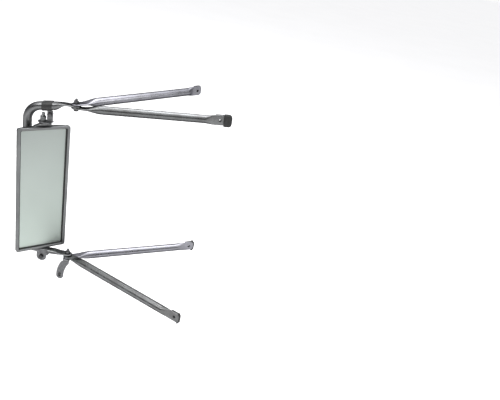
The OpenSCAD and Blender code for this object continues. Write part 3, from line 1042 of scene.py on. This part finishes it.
@dataclass
class Loop(Assembly):
    """Bent tube loop with its top clip and bottom yoke."""

    top: Vector = field(default_factory=Vector)
    low: Vector = field(default_factory=Vector)
    stud: Vector = field(default_factory=Vector)
    radius: float = 0.0127
    reach: float = 0.1395
    tongue_half: float = 0.0135
    press_half: float = 0.0021
    tongue_run: float = 0.024
    round_from: float = 0.062
    slope: float = math.radians(10.3)
    top_bend: float = 0.046
    low_bend: float = 0.033
    saddle_half: float = 0.0065
    saddle_end: float = 0.046
    press_run: float = 0.022
    yoke_sheet: float = 0.002
    washer: float = 0.0016
    hole: float = BOLT_BORE

    def stations(self) -> list[Station]:
        """Cross-sections from the upper tongue round to the lower one."""
        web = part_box("bottom_yoke")
        saddle_z = web[1].z - self.yoke_sheet - self.saddle_half - self.top.z
        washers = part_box("lower_pivot_washers")
        low_z = washers[1].z - self.washer - self.press_half - self.top.z
        down = Vector((0, 0, -1))
        left = -X_AXIS
        out = Vector((-math.cos(self.slope), 0, -math.sin(self.slope)))
        rows = self.tongue(Vector(), left, True)
        start = Vector((-self.tongue_run, 0, 0))
        end = Vector((-self.round_from, 0, -self.round_from * math.tan(self.slope)))
        rows += self.press(start, left, end, out, (self.tongue_half, self.press_half),
                           (self.radius, self.radius))
        turn = math.pi / 2 - self.slope
        corner = Vector((-self.reach, 0, -self.reach * math.tan(self.slope)))
        tangent = self.top_bend * math.tan(turn / 2)
        rows.append(Station(corner - out * (tangent + 0.001), out, self.radius, self.radius))
        rows += self.bend(corner - out * tangent, out, turn, self.top_bend,
                          (self.radius, self.radius))
        press_low = saddle_z + self.low_bend
        for share in (0.3, 0.6, 0.9, 1.0):
            z = between(corner.z - tangent, press_low + self.press_run, share)
            rows.append(Station(Vector((-self.reach, 0, z)), down, self.radius, self.radius))
        section = (self.tongue_half, self.saddle_half)
        rows += self.press(Vector((-self.reach, 0, press_low + self.press_run)), down,
                           Vector((-self.reach, 0, press_low)), down,
                           (self.radius, self.radius), section)
        rows += self.bend(Vector((-self.reach, 0, press_low)), down, math.pi / 2, self.low_bend,
                          section)
        rows += self.press(Vector((-self.saddle_end, 0, saddle_z)), X_AXIS,
                           Vector((-self.press_run, 0, low_z)), X_AXIS, section,
                           (self.tongue_half, self.press_half))
        rows += self.tongue(Vector((0, 0, low_z)), X_AXIS, False)
        return [Station(s.centre + self.top, s.along, s.wide, s.tall) for s in rows]

    def tongue(self, middle: Vector, along: Vector, first: bool) -> list[Station]:
        """Rounded end of a flat tongue.

        Args:
            middle: centre of its bolt hole.
            along: direction of the tube there.
            first: whether the tube starts here.

        Returns:
            The cross-sections in order.
        """
        rows = []
        for k in range(9):
            a = math.pi / 2 * (k + 0.35) / 8.35
            side = -1 if first else 1
            rows.append(Station(middle + along * side * self.tongue_half * math.cos(a), along,
                                self.tongue_half * math.sin(a), self.press_half))
        return rows if first else rows[::-1]

    def press(self, start: Vector, along: Vector, end: Vector, after: Vector,
              first: tuple[float, float], last: tuple[float, float]) -> list[Station]:
        """Stretch where the tube is pressed from one section to another.

        Args:
            start: where it starts.
            along: direction there.
            end: where it ends.
            after: direction there.
            first: half sizes at the start.
            last: half sizes at the end.

        Returns:
            The cross-sections in order.
        """
        rows = []
        length = (end - start).length
        for k in range(15):
            t = k / 14
            bow = (t * (1 - t) ** 2) * length * along - (t * t * (1 - t)) * length * after
            place = start.lerp(end, eased(t)) + bow
            rows.append(Station(place, along.lerp(after, t).normalized(),
                                between(first[0], last[0], eased(t)),
                                between(first[1], last[1], eased(t))))
        return rows

    def bend(self, start: Vector, along: Vector, angle: float, radius: float,
             section: tuple[float, float]) -> list[Station]:
        """Round bend towards the inside of the loop.

        Args:
            start: where it starts.
            along: direction there.
            angle: angle of the bend.
            radius: radius of the centre line.
            section: half sizes.

        Returns:
            The cross-sections in order.
        """
        inward = Vector((-along.z, 0, along.x))
        middle = start + inward * radius
        rows = []
        for k in range(21):
            a = angle * k / 20
            place = middle - inward * radius * math.cos(a) + along * radius * math.sin(a)
            rows.append(Station(place, along * math.cos(a) + inward * math.sin(a), *section))
        return rows

    def build(self) -> None:
        """Builds the loop, its clip, its yoke and their fasteners."""
        tube = Shape().loft(swept(self.stations(), Y_AXIS)).made("loop_bent_tube")
        drill(tube, self.top, Z_AXIS, round_hole(self.hole), THROUGH)
        drill(tube, Vector((self.low.x, self.low.y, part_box("lower_pivot_washers")[1].z)), Z_AXIS,
              round_hole(self.hole), THROUGH)
        self.add(tube, Slot.TUBE, "loop_tube")
        self.clip()
        self.yoke()
        m8 = Fastener()
        self.bolt("top_clip_bolt", Y_AXIS, m8)
        self.nut("top_clip_nut", Y_AXIS, m8)
        self.bolt("yoke_bolt", -Y_AXIS, m8)
        self.nut("yoke_nut", Y_AXIS, m8)
        self.bolt("lower_pivot_bolt", Z_AXIS, m8)
        self.nut("lower_pivot_nut", Z_AXIS, m8)

    def clip(self, wall: float = 0.0024, leg_gap: float = 0.0013, half: float = 0.0145,
             leg_half: float = 0.0084, foot: float = 0.003) -> None:
        """Builds the clip: a black band round the upper arm over a grey leg and foot plate.

        Args:
            wall: thickness of the sheet.
            leg_gap: half of the distance between the two legs' middles.
            half: half of the width of the band and of the foot plate.
            leg_half: half of the width of the legs.
            foot: thickness of the foot plate.
        """
        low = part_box("top_clip")[0]
        bolt_low, bolt_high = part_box("top_clip_bolt")
        leg_x = (bolt_low.x + bolt_high.x) / 2
        foot_end = leg_x + 0.0071
        band_start = self.stud.x - 0.002
        middle_x = band_start + half
        centre_z = self.top.z + (middle_x - self.top.x) * math.tan(self.slope)
        plate_z = low.z + foot
        clearance = 0.00005
        mid = self.radius + wall / 2 + clearance
        gap = math.asin(leg_gap * 2 / mid)
        leg_top = centre_z - mid * math.cos(gap)
        rows = []
        for k in range(41):
            a = -math.pi / 2 - gap - (math.tau - 2 * gap) * k / 40
            rows.append(Row(self.top.y + mid * math.cos(a), centre_z + mid * math.sin(a),
                            math.cos(a), math.sin(a), middle_x - half, middle_x + half))
        band = bent_sheet(rows, wall).made("top_clip_band")
        for vertex in band.data.vertices:
            vertex.co.z += (vertex.co.x - middle_x) * math.tan(self.slope)
        self.add(band, Slot.BLACK_STEEL, "top_clip")
        for side in (-1, 1):
            leg = [Row(self.top.y + side * leg_gap, between(plate_z, leg_top, k / 6), side, 0.0,
                       leg_x - leg_half, leg_x + leg_half) for k in range(7)]
            piece = bent_sheet(leg, wall).made("top_clip_leg")
            drill(piece, Vector((leg_x, self.top.y, (bolt_low.z + bolt_high.z) / 2)), Y_AXIS,
                  round_hole(BOLT_RADIUS), THROUGH)
            self.add(piece, Slot.PRESSED)
        outline = []
        for k in range(17):
            a = math.pi / 2 + math.pi * k / 16
            outline.append((self.stud.x + half * math.cos(a), self.stud.y + half * math.sin(a)))
        outline += [(foot_end, self.stud.y - half), (foot_end, self.stud.y + half)]
        rings = [[Vector((x, y, z)) for x, y in outline] for z in (low.z, plate_z)]
        plate = Shape().loft(rings).made("top_clip_foot")
        drill(plate, Vector((self.stud.x, self.stud.y, plate_z)), Z_AXIS, round_hole(STUD_BORE), THROUGH)
        self.add(soften(plate, 0.0007, 3), Slot.PRESSED)

    def yoke(self, wall: float = 0.0021, lug: float = 0.016, fold: float = 0.0034) -> None:
        """Builds the yoke: a folded sheet over the saddle with a round lug on each side.

        Args:
            wall: thickness of the sheet.
            lug: radius of a lug.
            fold: radius of the fold at the sheet's middle.
        """
        low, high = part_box("bottom_yoke")
        bolt_low, bolt_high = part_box("yoke_bolt")
        bolt_x = (bolt_low.x + bolt_high.x) / 2
        bolt_z = (bolt_low.z + bolt_high.z) / 2
        top_z = high.z - wall / 2
        half = (high.y - low.y) / 2 - wall / 2
        centre_y = (high.y + low.y) / 2
        rows = []
        tip_half = 0.0015
        nose = 0.012
        nose_half = 0.0119

        def line(y: float, z: float, out_y: float, out_z: float) -> None:
            """Adds a line across the sheet, with a round nose under the head's pin.

            Args:
                y: place across the yoke.
                z: height.
                out_y: Y part of the sheet's outward direction.
                out_z: Z part of the sheet's outward direction.
            """
            drop = max(0.0, bolt_z - z)
            reach = math.sqrt(max(lug * lug - drop * drop, tip_half ** 2))
            left = bolt_x - reach
            if abs(y) < nose_half and out_z > 0.5:
                left = min(left, self.stud.x - math.sqrt(nose ** 2 - y * y))
            rows.append(Row(y + centre_y, z, out_y, out_z, left, bolt_x + reach))

        side = []
        for k in range(13):
            a = math.pi / 2 * (k + 0.4) / 12.4
            side.append((half, bolt_z - lug * math.cos(a), 1.0, 0.0))
        side.append((half, top_z - fold, 1.0, 0.0))
        for k in range(1, 7):
            a = math.pi / 2 * k / 6
            side.append((half - fold + fold * math.cos(a), top_z - fold + fold * math.sin(a),
                         math.cos(a), math.sin(a)))
        for entry in side:
            line(*entry)
        for k in range(1, 12):
            line(between(half - fold, fold - half, k / 12), top_z, 0.0, 1.0)
        for y, z, out_y, out_z in reversed(side):
            line(-y, z, -out_y, out_z)
        yoke = bent_sheet(rows, wall).made("bottom_yoke_folded")
        drill(yoke, Vector((bolt_x, centre_y, bolt_z)), Y_AXIS, round_hole(BOLT_RADIUS), 3 * THROUGH)
        self.add(yoke, Slot.PRESSED, "bottom_yoke")


@dataclass
class Head(Assembly):
    """Mirror head: bowed back, rolled rim, glass and its turning hardware."""

    stud: Vector = field(default_factory=Vector)
    turn: float = math.radians(40)
    width: float = 0.156
    height: float = 0.414
    rim_front: float = -0.018
    rim_side: float = 0.009
    rim_end: float = 0.008
    rim_sheet: float = 0.001
    skirt: float = 0.010
    corner: float = 0.0075
    back_corner: float = 0.007
    side_edge: float = -0.011
    back: float = 0.009
    sheet: float = 0.0012
    glass_front: float = -0.010
    # Width of the rubber lip over the glass: partly a real gasket, partly a dark band for painted shade in the
    # recess
    lip: float = 0.003

    def place(self) -> Matrix:
        """Frame of the head: Z up through the turning axis, origin at its middle height."""
        low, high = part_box("rim_frame")
        middle = Vector((self.stud.x, self.stud.y, (low.z + high.z) / 2))
        return Matrix.Translation(middle) @ Matrix.Rotation(self.turn, 4, "Z")

    def shell(self) -> None:
        """Builds the bowed back as a thin sheet."""
        half_w = self.width / 2 - self.rim_sheet
        half_h = self.height / 2 - self.rim_sheet
        corner = self.corner - self.rim_sheet
        levels = []
        for k in range(9):
            a = math.pi / 2 * k / 8
            levels.append((half_h - corner * (1 - math.sin(math.pi / 2 - a)), math.sin(a)))
        rows = levels + [(levels[-1][0] / 2, 1.0)]
        rows += [(-z, share) for z, share in reversed(levels)]
        rings = []
        for z, share in rows:
            w = half_w - corner * (1 - share)
            back = self.back - self.back_corner * (1 - share)
            ring = [Vector((w, self.rim_front + 2 * self.rim_sheet, z))]
            for k in range(61):
                a = math.pi * k / 60
                ring.append(Vector((w * math.cos(a),
                                    self.side_edge + (back - self.side_edge) * math.sin(a), z)))
            ring.append(Vector((-w, self.rim_front + 2 * self.rim_sheet, z)))
            rings.append(ring)
        shell = Shape().loft(rings, closed=False).made("mirror_shell_bowed", self.place())
        solid = shell.modifiers.new("sheet", "SOLIDIFY")
        solid.thickness = self.sheet
        solid.offset = -1
        settle(shell)
        self.add(shell, Slot.STAINLESS, "mirror_shell")

    def rim(self) -> None:
        """Builds the rolled rim round the glass."""
        f = self.rim_front
        wall = self.glass_front - 0.0012
        profile = ((0.0, f + self.skirt), (0.0, f + 0.0022), (0.03, f + 0.0012), (0.1, f + 0.0004),
                   (0.22, f + 0.00008), (0.5, f), (0.74, f + 0.0001), (0.88, f + 0.0004),
                   (0.97, f + 0.0012), (1.0, f + 0.0024), (1.0, wall), (0.9, wall),
                   (0.9, f + 0.0026), (0.7, f + 0.0012), (0.2, f + 0.0012), (0.11, f + 0.0026),
                   (0.11, f + self.skirt))
        rings = [face_ring(self.width - 2 * self.rim_side * t, self.height - 2 * self.rim_end * t,
                           self.corner - 0.0045 * t, y) for t, y in profile]
        rim = Shape().loft(rings, loop=True).made("rim_frame_rolled", self.place())
        self.add(rim, Slot.STAINLESS, "rim_frame")

    def gasket(self) -> None:
        """Builds the rubber channel that lines the rim and laps the glass: a real gasket, widened and carried up
        the rim's inner wall as a dark sheet for painted shade in the recess.
        """
        inner_w = self.width - 2 * self.rim_side
        inner_h = self.height - 2 * self.rim_end
        f = self.glass_front
        # The part of this profile that runs up the rim's inner wall is a dark sheet for painted shade
        profile = ((-0.0022, f + 0.003), (-0.0022, f - 0.0004), (-0.001, f - 0.0011),
                   (0.00002, f - 0.0012), (0.00004, f - 0.0040), (0.0005, f - 0.0046),
                   (0.0010, f - 0.0040), (0.0013, f - 0.0020), (0.0019, f - 0.0013),
                   (self.lip * 0.8, f - 0.0010), (self.lip, f - 0.0005), (self.lip, f - 0.00005),
                   (-0.0018, f - 0.00005), (-0.0018, f + 0.003))
        rings = [face_ring(inner_w - 2 * d, inner_h - 2 * d, 0.004 if d > 0 else 0.005, y)
                 for d, y in profile]
        gasket = Shape().loft(rings, loop=True).made("glass_gasket_with_painted_shade_lining", self.place())
        self.add(gasket, Slot.RUBBER, "glass_gasket")

    def saddle(self, length: float = 0.056, width: float = 0.015) -> None:
        """Builds the bright saddle that stands on the head's top.

        Args:
            length: length of its foot.
            width: width of its foot.
        """
        low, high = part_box("stud_saddle")
        rise = high.z - low.z
        half_top = 0.0075
        rings = []
        for share, spread in ((0.0, 1.0), (0.06, 1.0), (0.12, 0.975), (0.18, 0.9), (0.26, 0.76),
                              (0.36, 0.58), (0.5, 0.38), (0.66, 0.2), (0.82, 0.07), (0.93, 0.0),
                              (1.0, -0.03)):
            wide = between(half_top, length / 2, spread)
            tall = between(half_top, width / 2, spread)
            rings.append([Vector((x, y, rise * share)) for x, y in slot_outline(wide, tall)])
        place = Matrix.Translation((self.stud.x, self.stud.y, low.z)) @ Matrix.Rotation(
            self.turn, 4, "Z")
        saddle = Shape().loft(rings).made("stud_saddle_pressed", place)
        self.add(soften(saddle, 0.0004), Slot.STAINLESS, "stud_saddle")

    def turning_hardware(self) -> None:
        """Builds the stud, its nuts and its washer."""
        low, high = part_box("top_stud")
        m10 = Fastener(corner=0.0092, shank=0.005, pitch=0.0015)
        base = Vector((self.stud.x, self.stud.y, low.z))
        self.add(m10.thread(high.z - low.z).made("top_stud_thread", axis_frame(base, Z_AXIS)),
                 Slot.STAINLESS, "top_stud")
        low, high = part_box("stud_nuts")
        for name, z, height, turn in (("stud_nut_full", low.z, 0.008, self.turn),
                                      ("stud_nut_thin", high.z - 0.005, 0.005,
                                       self.turn + math.radians(20))):
            place = Matrix.Translation((self.stud.x, self.stud.y, z)) @ Matrix.Rotation(turn, 4, "Z")
            nut = m10.hexagon(height, m10.shank, (True, True)).made(name, place)
            self.add(nut, Slot.STAINLESS, "stud_nuts")
        low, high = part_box("stud_washers")
        self.add(washer("stud_washer_pressed", low, high, 0.005), Slot.STAINLESS, "stud_washers")

    def build(self) -> None:
        """Builds the head."""
        self.shell()
        self.rim()
        self.gasket()
        self.saddle()
        self.turning_hardware()


def washer(name: str, low: Vector, high: Vector, bore: float) -> bpy.types.Object:
    """Washer with rounded edges.

    Args:
        name: name of the piece.
        low: lowest corner of its box.
        high: highest corner of its box.
        bore: radius of its hole.

    Returns:
        The piece.
    """
    r = (high.x - low.x) / 2
    h = high.z - low.z
    e = h * 0.22
    profile = ((bore, 0), (r - e, 0), (r, e), (r, h - e), (r - e, h), (bore + e, h), (bore, h - e))
    middle = (low + high) / 2
    return turned(profile).made(name, Matrix.Translation((middle.x, middle.y, low.z)))


@dataclass
class Strap(Assembly):
    """Curved strap that hangs from the lower hinge."""

    hinge: Vector = field(default_factory=Vector)
    width: float = 0.024
    thickness: float = 0.0032
    curve: float = 0.100
    drop: float = 0.064
    offset: float = 0.017
    end_x: float = -0.017
    fold: float = 0.0048
    slot_length: float = 0.007
    slot_half: float = 0.0026
    turn: float = math.radians(-5)

    def rows(self, top: float) -> list[Row]:
        """Lines across the strap, from its hinge end to its free end.

        Args:
            top: height of its upper face.

        Returns:
            The lines in order.
        """
        half = self.width / 2
        z = top - self.thickness / 2
        low = top - self.drop
        y = self.thickness / 2 - self.offset
        rows = []
        for k in range(9):
            a = math.pi / 2 * (k + 0.35) / 8.35
            w = half * math.sin(a)
            rows.append(Row(half * math.cos(a), z, 0, 1, -w, w))
        rows.append(Row(y + self.fold, z, 0, 1, -half, half))
        for k in range(1, 7):
            a = math.pi / 2 * k / 6
            rows.append(Row(y + self.fold * (1 - math.sin(a)), z - self.fold * (1 - math.cos(a)),
                            -math.sin(a), math.cos(a), between(-half, self.edge(1, self.drop), k / 6),
                            half))
        for k in range(1, 19):
            h = between(self.drop - self.thickness / 2 - self.fold, 0, k / 18)
            rows.append(Row(y, low + h, -1, 0, self.edge(1, h), min(half, self.edge(-1, h))))
        for k in range(1, 9):
            a = math.pi / 2 * k / 8.35
            w = half * math.cos(a)
            rows.append(Row(y, low - half * math.sin(a), -1, 0, self.end_x - w, self.end_x + w))
        return rows

    def edge(self, side: int, height: float) -> float:
        """Place along X of the strap's left (1) or right (-1) edge at a height over its end."""
        r = self.curve + side * self.width / 2
        return self.end_x + self.curve - math.sqrt(r * r - height * height)

    def build(self) -> None:
        """Builds the strap with its slot."""
        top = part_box("lower_strap")[1].z
        place = Matrix.Translation((self.hinge.x, self.hinge.y, 0)) @ Matrix.Rotation(
            self.turn, 4, "Z")
        strap = bent_sheet(self.rows(top), self.thickness).made("lower_strap_folded", place)
        drill(strap, Vector((self.hinge.x, self.hinge.y, top)), Z_AXIS, round_hole(BOLT_BORE), THROUGH)
        slot = place @ Vector((self.end_x, self.thickness / 2 - self.offset,
                               top - self.drop + self.slot_length / 2))
        across = place.to_3x3() @ Y_AXIS
        drill(strap, slot, across, slot_outline(self.slot_half, self.slot_half + self.slot_length / 2),
              THROUGH)
        self.add(strap, Slot.PRESSED, "lower_strap")


# ---- stage ---------------------------------------------------------------------------


@dataclass(frozen=True)
class Softbox:
    """Large soft light."""

    name: str
    place: tuple[float, float, float]
    size: tuple[float, float]
    power: float
    tint: Colour = (1, 1, 1)

    def build(self, target: Vector) -> None:
        """Places the light so that it faces the target."""
        data = bpy.data.lights.new(self.name, "AREA")
        data.shape = "RECTANGLE"
        data.size, data.size_y = self.size
        data.energy = self.power
        data.color = self.tint
        lamp = bpy.data.objects.new(self.name, data)
        lamp.location = self.place
        lamp.rotation_euler = (target - lamp.location).to_track_quat("-Z", "Y").to_euler()
        bpy.context.scene.collection.objects.link(lamp)


@dataclass(frozen=True)
class Viewpoint:
    """Camera of the main view."""

    place: tuple[float, float, float] = (0.0725, -1.6927, 0.5470)
    heading: float = math.radians(2.233)
    dip: float = math.radians(25.057)
    roll: float = math.radians(11.58)
    lens: float = 41.59

    def build(self) -> None:
        """Makes the camera and the scene's view."""
        ahead = Vector((math.cos(self.dip) * math.sin(self.heading),
                        math.cos(self.dip) * math.cos(self.heading), -math.sin(self.dip)))
        level = Vector((math.cos(self.heading), -math.sin(self.heading), 0))
        upward = level.cross(ahead)
        right = level * math.cos(self.roll) + upward * math.sin(self.roll)
        top = right.cross(ahead)
        data = bpy.data.cameras.new("view")
        data.lens = self.lens
        data.sensor_width = 36
        camera = bpy.data.objects.new("view", data)
        turn = Matrix((right, top, -ahead)).transposed().to_4x4()
        camera.matrix_world = Matrix.Translation(self.place) @ turn
        bpy.context.scene.collection.objects.link(camera)
        bpy.context.scene.camera = camera
        bpy.context.scene.view_settings.view_transform = "Standard"


@dataclass
class Stage:
    """Pale floor, surroundings and lights."""

    gap: float = 0.03
    radius: float = 30.0
    pale: Colour = (0.96, 0.96, 0.96)

    def floor(self, bottom: float) -> None:
        """Builds the floor under the part.

        Args:
            bottom: lowest point of the part.
        """
        rings = [[Vector((r * math.cos(math.tau * k / 96), r * math.sin(math.tau * k / 96),
                          bottom - self.gap)) for k in range(96)] for r in (self.radius, 0.5)]
        floor = Shape().loft(rings, caps=False)
        floor.bm.faces.new([v for v in floor.bm.verts][96:])
        piece = floor.made("floor")
        s = Surface("pale_floor")
        tone = s.blended(s.noise((2, 2, 2), 3), self.pale, tuple(c * 0.985 for c in self.pale))
        s.drive("Base Color", tone)
        s.fix(Roughness=0.9)
        piece.data.materials.append(s.material)
        piece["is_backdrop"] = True

    def surroundings(self) -> None:
        """Studio walls: bright overhead, dark towards the horizon, pale for the camera."""
        world = bpy.data.worlds.new("studio")
        bpy.context.scene.world = world
        world.use_nodes = True
        nodes, links = world.node_tree.nodes, world.node_tree.links
        nodes.clear()
        place = nodes.new("ShaderNodeTexCoord")
        split = nodes.new("ShaderNodeSeparateXYZ")
        ramp = nodes.new("ShaderNodeValToRGB")
        height = nodes.new("ShaderNodeMapRange")
        height.inputs["From Min"].default_value = -1
        links.new(place.outputs["Generated"], split.inputs["Vector"])
        links.new(split.outputs["Z"], height.inputs["Value"])
        links.new(height.outputs["Result"], ramp.inputs["Fac"])
        stops = ramp.color_ramp.elements
        stops[0].position, stops[0].color = 0.48, (0.30, 0.30, 0.31, 1)
        stops[1].position, stops[1].color = 0.97, (1.5, 1.5, 1.5, 1)
        for position, grey in ((0.55, 0.10), (0.66, 0.16), (0.80, 0.95)):
            stop = stops.new(position)
            stop.color = (grey, grey, grey * 1.03, 1)
        walls = nodes.new("ShaderNodeBackground")
        links.new(ramp.outputs["Color"], walls.inputs["Color"])
        seen = nodes.new("ShaderNodeBackground")
        seen.inputs["Color"].default_value = (*self.pale, 1)
        path = nodes.new("ShaderNodeLightPath")
        mix = nodes.new("ShaderNodeMixShader")
        links.new(path.outputs["Is Camera Ray"], mix.inputs["Fac"])
        links.new(walls.outputs["Background"], mix.inputs[1])
        links.new(seen.outputs["Background"], mix.inputs[2])
        output = nodes.new("ShaderNodeOutputWorld")
        links.new(mix.outputs["Shader"], output.inputs["Surface"])

    def build(self, low: Vector, high: Vector) -> None:
        """Builds the stage round the part.

        Args:
            low: lowest corner of the part.
            high: highest corner of the part.
        """
        target = (low + high) / 2
        self.floor(low.z)
        self.surroundings()
        for light in (Softbox("key", (-1.4, -1.8, 2.4), (1.8, 1.8), 66),
                      Softbox("overhead", (0.2, 0.6, 2.6), (3.0, 1.8), 84, (0.97, 0.97, 1.0)),
                      Softbox("side", (2.4, -0.6, 1.0), (1.0, 1.8), 26)):
            light.build(target)


# ---- all together ----------------------------------------------------------------------


def dress_nodes(finishes: dict[Slot, bpy.types.Material]) -> None:
    """Gives every node of the part the finish of its record slot."""
    for entry in frame["record"]["subparts"]:
        mesh = frame["nodes"][entry["node"]].data
        mesh.materials.clear()
        mesh.materials.append(finishes[Slot(entry["material_slot"])])


def corners() -> list[list[float]]:
    """Lowest and highest corner of the whole object, as plain lists."""
    return [[float(v) for v in corner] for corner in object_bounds()]


def main() -> None:
    """Builds the whole scene."""
    logging.basicConfig(level=logging.INFO, format="%(name)s: %(message)s")
    cad_box = corners()
    low, high = (Vector(c) for c in cad_box)
    finishes = {slot: finish.material() for slot, finish in FINISHES.items()}
    dress_nodes(finishes)
    painted_light_finishes = finishes | {Slot.TUBE: PAINTED_LIGHT_TUBE.material()}
    top = joint_place("loop_swing")
    bottom = joint_place("lower_rear_swing")
    stud = joint_place("head_turn")
    m8 = Fastener()
    levels = {Body.UPPER_REAR: top.z - STACK_STEP, Body.UPPER_FRONT: top.z + STACK_STEP,
              Body.LOWER_REAR: bottom.z + STACK_STEP / 2, Body.LOWER_FRONT: bottom.z - STACK_STEP / 2}
    for body, z in levels.items():
        # Front arms take the tube copy with painted light
        bright = body in (Body.UPPER_FRONT, Body.LOWER_FRONT)
        arm = Arm(painted_light_finishes if bright else finishes, body, body.value, Vector((top.x, top.y, z)))
        arm.build()
        if body is Body.UPPER_REAR:
            arm.pad("upper_rear_boot")
            arm.boot()
            arm.bolt("upper_pivot_bolt", Z_AXIS, m8)
            arm.nut("upper_pivot_nut", Z_AXIS, m8)
        else:
            arm.pad(body.value + "_pad")
        if body.value in LIP_WALLS:
            arm.lip(LIP_WALLS[body.value])
        if body is Body.LOWER_FRONT:
            arm.tab()
    # The loop takes the tube copy with painted shade
    painted_shade_finishes = finishes | {Slot.TUBE: PAINTED_SHADE_TUBE.material()}
    Loop(painted_shade_finishes, Body.LOOP, top, bottom, stud).build()
    Head(finishes, Body.HEAD, stud).build()
    Strap(finishes, Body.STRAP, bottom).build()
    Stage().build(low, high)
    Viewpoint().build()


if __name__ == "__main__":
    main()
